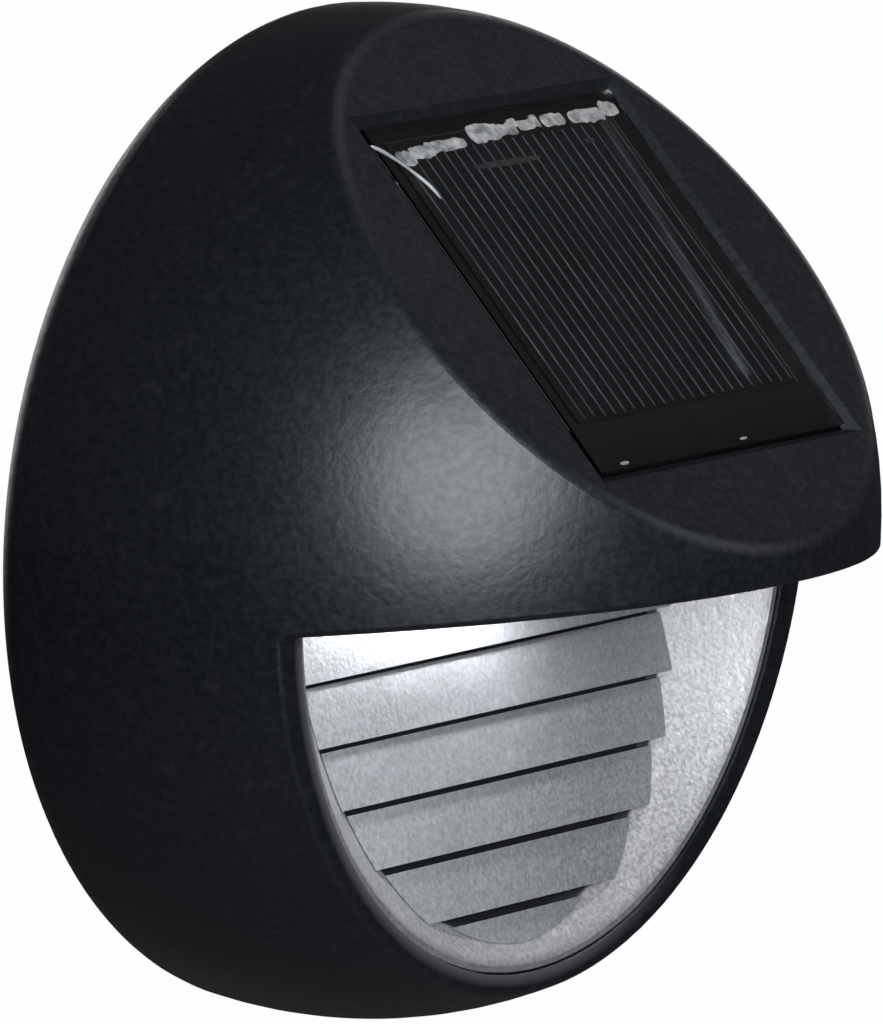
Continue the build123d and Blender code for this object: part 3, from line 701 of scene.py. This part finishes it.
# from millimetres on the solar face (across, up the slope, out) to the frame, over one layer's top
def facePlace(nodeName):
    rise = (middleOf(nodeName) - panelMiddle).dot(faceOut) + layerPlan[nodeName] * mm / 2
    origin = panelMiddle + faceOut * rise
    turn = Matrix((faceAcross, faceDown * -1, faceOut)).transposed().to_4x4()
    return Matrix.Translation(origin) @ turn @ Matrix.Scale(mm, 4)


# the printed fingers, from the bus down to the cell's foot; x and down in mm from the recess's middle
fingerPlan = {
    "count": 22, "left": -20.7, "right": 21.8, "top": -21.0, "foot": 17.5,
    "width": 0.30, "thickness": 0.03, "unevenFoot": 0.25, "footDrift": 1.7, "footStart": 0.3,
}


def makeFingers(plan):
    work = bmesh.new()
    step = (plan["right"] - plan["left"]) / (plan["count"] - 1)
    for index in range(plan["count"]):
        x = plan["left"] + index * step
        drift = noise.noise((index * plan["footDrift"], plan["footStart"], 0.0))
        foot = plan["foot"] + plan["unevenFoot"] * drift
        strip = bmesh.ops.create_cube(work, size=1.0)["verts"]
        bmesh.ops.scale(work, verts=strip, vec=(plan["width"], foot - plan["top"], plan["thickness"]))
        middle = (x, -(foot + plan["top"]) / 2, plan["thickness"] / 2)
        bmesh.ops.translate(work, verts=strip, vec=middle)
    finishPiece("cellFingers", work, "finger_print", place=facePlace("solar_cell"))


makeFingers(fingerPlan)


# a grid whose ends are rounded in and whose sides wander, laid at a place on the face
def layPatch(work, plan, x, down, halfLength, halfWidth, sidewaysAt):
    made = bmesh.ops.create_grid(work, x_segments=plan["columns"], y_segments=plan["rows"], size=1.0)["verts"]
    for vertex in made:
        across, side = vertex.co.x, vertex.co.y
        taper = max(0.0, 1.0 - abs(across) ** plan["corner"]) ** 0.5
        sideways = sidewaysAt(across, side, side * halfWidth * taper)
        vertex.co = (x + across * halfLength, sideways - down, 0.0)
    return made


# the grid made solid: a copy of it stands over it at the height asked for
def raisePatch(work, made, heightAt):
    grid = set(made)
    faces = [face for face in work.faces if grid.issuperset(face.verts)]
    lifted = bmesh.ops.extrude_face_region(work, geom=faces)["geom"]
    for vertex in onlyOf(bmesh.types.BMVert, lifted):
        vertex.co.z = heightAt(vertex.co)


def closePatches(work, plan):
    bmesh.ops.remove_doubles(work, verts=work.verts, dist=plan["weld"])
    bmesh.ops.recalc_face_normals(work, faces=work.faces[:])


# hand-laid solder over the bus, lump by lump: middle across, middle down, half length, half width, height
solderPlan = {
    "lumps": (
        (-20.2, -20.4, 1.7, 1.10, 0.115), (-16.6, -21.0, 2.4, 0.90, 0.095), (-11.6, -21.4, 4.2, 0.80, 0.085),
        (-3.0, -22.2, 3.2, 1.15, 0.100), (-3.9, -22.9, 2.2, 0.62, 0.135), (1.6, -22.2, 1.9, 0.85, 0.090),
        (3.2, -22.9, 0.9, 0.60, 0.130), (5.6, -22.4, 1.6, 0.72, 0.105), (7.6, -22.7, 0.8, 0.85, 0.125),
        (11.2, -22.5, 2.3, 0.85, 0.105), (18.0, -22.3, 3.6, 0.95, 0.060), (17.8, -22.9, 3.2, 0.30, 0.100),
        (22.9, -22.8, 1.7, 1.00, 0.125),
    ),
    "columns": 30, "rows": 10, "corner": 8.0, "weld": 0.0005,
    "ragged": 0.34, "pitch": 0.85, "sidePitch": 0.6, "lumpShift": 5.0,  # of the sides
    "flat": 0.62, "edge": 0.25, "rough": 0.5, "roughPitch": 1.6, "roughShift": 3.0,  # of the top
}


def makeSolder(plan):
    work = bmesh.new()
    for number, (x, down, halfLength, halfWidth, height) in enumerate(plan["lumps"]):
        def ragged(across, side, sideways):
            point = (across * halfLength / plan["pitch"], plan["sidePitch"] * side, number * plan["lumpShift"])
            return sideways * (1.0 + plan["ragged"] * noise.noise(point))

        def domed(point):
            across = (point.x - x) / halfLength
            side = (point.y + down) / halfWidth
            dome = max(0.0, 1.0 - across * across) * max(0.0, 1.0 - side * side)
            spot = (point.x * plan["roughPitch"], point.y * plan["roughPitch"], number * plan["roughShift"])
            rough = 1.0 + plan["rough"] * noise.noise(spot)
            return height * (plan["flat"] + (1.0 - plan["flat"]) * dome ** plan["edge"] * rough)

        made = layPatch(work, plan, x, down, halfLength, halfWidth, ragged)
        raisePatch(work, made, domed)
    closePatches(work, plan)
    place = facePlace("solar_cell")
    piece = finishPiece("busSolder", work, "solder_silver", place=place, smooth=True)
    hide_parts("bus_ribbon")


makeSolder(solderPlan)

# test tab across the fingers and a stray solder dot, both dull: middle across, middle down, half sizes
tabPlan = {
    "strips": ((-2.4, -17.8, 7.0, 0.42), (15.4, -18.9, 1.0, 0.36)), "thickness": 0.045,
    "columns": 16, "rows": 2, "corner": 3.0, "weld": 0.0005,
    "drift": 0.18, "driftPitch": 5.0, "stripShift": 2.0, "driftStart": 1.0,
}


def makeTabs(plan):
    work = bmesh.new()
    for number, (x, down, halfLength, halfWidth) in enumerate(plan["strips"]):
        def drifting(across, side, sideways):
            point = (across * plan["driftPitch"], number * plan["stripShift"], plan["driftStart"])
            return sideways + plan["drift"] * noise.noise(point)

        made = layPatch(work, plan, x, down, halfLength, halfWidth, drifting)
        raisePatch(work, made, lambda point: plan["thickness"])
    closePatches(work, plan)
    finishPiece("cellTabs", work, "dull_tab", place=facePlace("solar_cell"))


makeTabs(tabPlan)

# cured resin that crept up at a corner, and two beads of it at the foot, coloured pale: a painted glint along
# them; points across and down, in mm
resinGlintPlan = {
    "points": ((-25.9, -22.7), (-24.6, -21.9), (-22.5, -19.8), (-20.9, -17.4), (-20.0, -15.8), (-19.8, -14.0)),
    "radii": (0.16, 0.34, 0.18, 0.24, 0.30, 0.08), "sides": 8, "lift": 0.02, "smoothing": 2,
    "beads": ((-19.9, 24.4, 0.95, 0.26), (4.5, 24.3, 0.80, 0.20)),  # the last two are half sizes
    "beadHeight": 0.14, "beadSegments": (16, 8),
}


# the resin's pale colour is a painted glint over real resin beads
def makeResinGlint(plan):
    work = bmesh.new()
    rings = []
    points = [Vector((x, -down, plan["lift"])) for x, down in plan["points"]]
    for index, (point, radius) in enumerate(zip(points, plan["radii"])):
        ahead = (points[min(index + 1, len(points) - 1)] - points[max(index - 1, 0)]).normalized()
        ring = bmesh.ops.create_circle(work, cap_ends=False, segments=plan["sides"], radius=radius)["verts"]
        turn = ahead.to_track_quat("Z", "Y").to_matrix().to_4x4()
        bmesh.ops.transform(work, matrix=Matrix.Translation(point) @ turn, verts=ring)
        rings.append(ring)
    for first, second in zip(rings, rings[1:]):
        bmesh.ops.bridge_loops(work, edges=edgesAmong(work.edges, first) + edgesAmong(work.edges, second))
    for ring in (rings[0], rings[-1]):
        bmesh.ops.contextual_create(work, geom=ring)
    for x, down, halfLength, halfWidth in plan["beads"]:
        around, along = plan["beadSegments"]
        bead = bmesh.ops.create_uvsphere(work, u_segments=around, v_segments=along, radius=1.0)["verts"]
        bmesh.ops.scale(work, verts=bead, vec=(halfLength, halfWidth, plan["beadHeight"]))
        bmesh.ops.translate(work, verts=bead, vec=(x, -down, 0.0))
    bmesh.ops.recalc_face_normals(work, faces=work.faces[:])
    place = facePlace("panel_resin")
    piece = finishPiece("resinGlintRun", work, "cured_resin", place=place, smooth=True)
    smoothing = piece.modifiers.new("smoothing", "SUBSURF")
    smoothing.levels = smoothing.render_levels = plan["smoothing"]


makeResinGlint(resinGlintPlan)

# back cover screws with a cross recess, in mm, the head's top towards the wall
screwPlan = {
    "headRadius": 2.5, "headHeight": 1.7, "crown": 0.35, "armLength": 1.45, "armWidth": 0.36, "recess": 1.0,
    "recessTaper": 0.55, "shankRadius": 1.3, "shankLength": 7.3, "segments": 48, "headFace": 0.3,
    "turns": (23.0, 40.0, 54.0, 71.0),  # of the crosses, in degrees
}


def addScrew(work, plan, place):
    made = []
    arms = []
    for quarter in range(4):
        turn = Matrix.Rotation(quarter * pi / 2, 4, "Z")
        for x, y in ((plan["armLength"], -plan["armWidth"]), (plan["armLength"], plan["armWidth"])):
            arms.append(work.verts.new(turn @ Vector((x, y, plan["headHeight"]))))
        arms.append(work.verts.new(turn @ Vector((plan["armWidth"], plan["armWidth"], plan["headHeight"]))))
    slot = [work.edges.new((arms[index], arms[(index + 1) % len(arms)])) for index in range(len(arms))]
    top = bmesh.ops.create_circle(
        work, cap_ends=False, segments=plan["segments"], radius=plan["headRadius"] - plan["crown"]
    )["verts"]
    bmesh.ops.translate(work, verts=top, vec=(0, 0, plan["headHeight"]))
    rim = edgesAmong(work.edges, top)
    bmesh.ops.bridge_loops(work, edges=slot + rim)
    made += arms + top
    # side of the head, its underside and the shank, ring by ring downwards
    rings = (
        (plan["headRadius"], plan["headHeight"] - plan["crown"]), (plan["headRadius"], 0.0),
        (plan["shankRadius"], 0.0), (plan["shankRadius"], -plan["shankLength"]),
    )
    for radius, height in rings:
        grown = bmesh.ops.extrude_edge_only(work, edges=rim)["geom"]
        ring = onlyOf(bmesh.types.BMVert, grown)
        rim = edgesAmong(onlyOf(bmesh.types.BMEdge, grown), ring)
        for vertex in ring:
            flat = Vector((vertex.co.x, vertex.co.y, 0)).normalized() * radius
            vertex.co = (flat.x, flat.y, height)
        made += ring
    bmesh.ops.contextual_create(work, geom=rim)
    # cross recess
    grown = bmesh.ops.extrude_edge_only(work, edges=slot)["geom"]
    foot = onlyOf(bmesh.types.BMVert, grown)
    for vertex in foot:
        vertex.co.x *= plan["recessTaper"]
        vertex.co.y *= plan["recessTaper"]
        vertex.co.z -= plan["recess"]
    bmesh.ops.contextual_create(work, geom=edgesAmong(onlyOf(bmesh.types.BMEdge, grown), foot))
    made += foot
    bmesh.ops.transform(work, matrix=place, verts=made)


def makeBackScrews(plan):
    work = bmesh.new()
    low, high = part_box("back_screws")
    reach = (high[0] - low[0]) / 2 / mm - plan["headRadius"]
    corners = [(x, z) for x in (-reach, reach) for z in (-reach, reach)]
    for (x, z), turn in zip(corners, plan["turns"]):
        middle = Vector((x, -plan["headFace"] - plan["headHeight"], z))
        tilt = Matrix.Rotation(-pi / 2, 4, "X") @ Matrix.Rotation(radians(turn), 4, "Z")
        addScrew(work, plan, Matrix.Scale(mm, 4) @ Matrix.Translation(middle) @ tilt)
    bmesh.ops.recalc_face_normals(work, faces=work.faces[:])
    piece = finishPiece("crossScrews", work, "screw_steel")
    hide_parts("back_screws")


makeBackScrews(screwPlan)

# grip ribs on the switch knob
ribPlan = {
    "count": 3, "pitch": 0.9, "width": 0.35, "height": 0.22, "length": 2.4, "edge": 0.1, "edgeSegments": 2,
}


def makeKnobRibs(plan):
    work = bmesh.new()
    middle = middleOf("switch_knob") / mm
    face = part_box("switch_knob")[1][1] / mm
    for index in range(plan["count"]):
        x = middle.x + (index - (plan["count"] - 1) / 2) * plan["pitch"]
        rib = bmesh.ops.create_cube(work, size=1.0)["verts"]
        bmesh.ops.scale(work, verts=rib, vec=(plan["width"], plan["height"] * 2, plan["length"]))
        bmesh.ops.translate(work, verts=rib, vec=(x, face, middle.z))
    outer = [edge for edge in work.edges if all(vertex.co.y > face for vertex in edge.verts)]
    bmesh.ops.bevel(
        work, geom=outer, offset=plan["edge"], segments=plan["edgeSegments"], affect="EDGES", profile=0.5,
        material=-1,
    )
    place = Matrix.Scale(mm, 4)
    finishPiece("knobRibs", work, "switch_plastic", body="switch_knob", place=place)


makeKnobRibs(ribPlan)
print("pieces made")
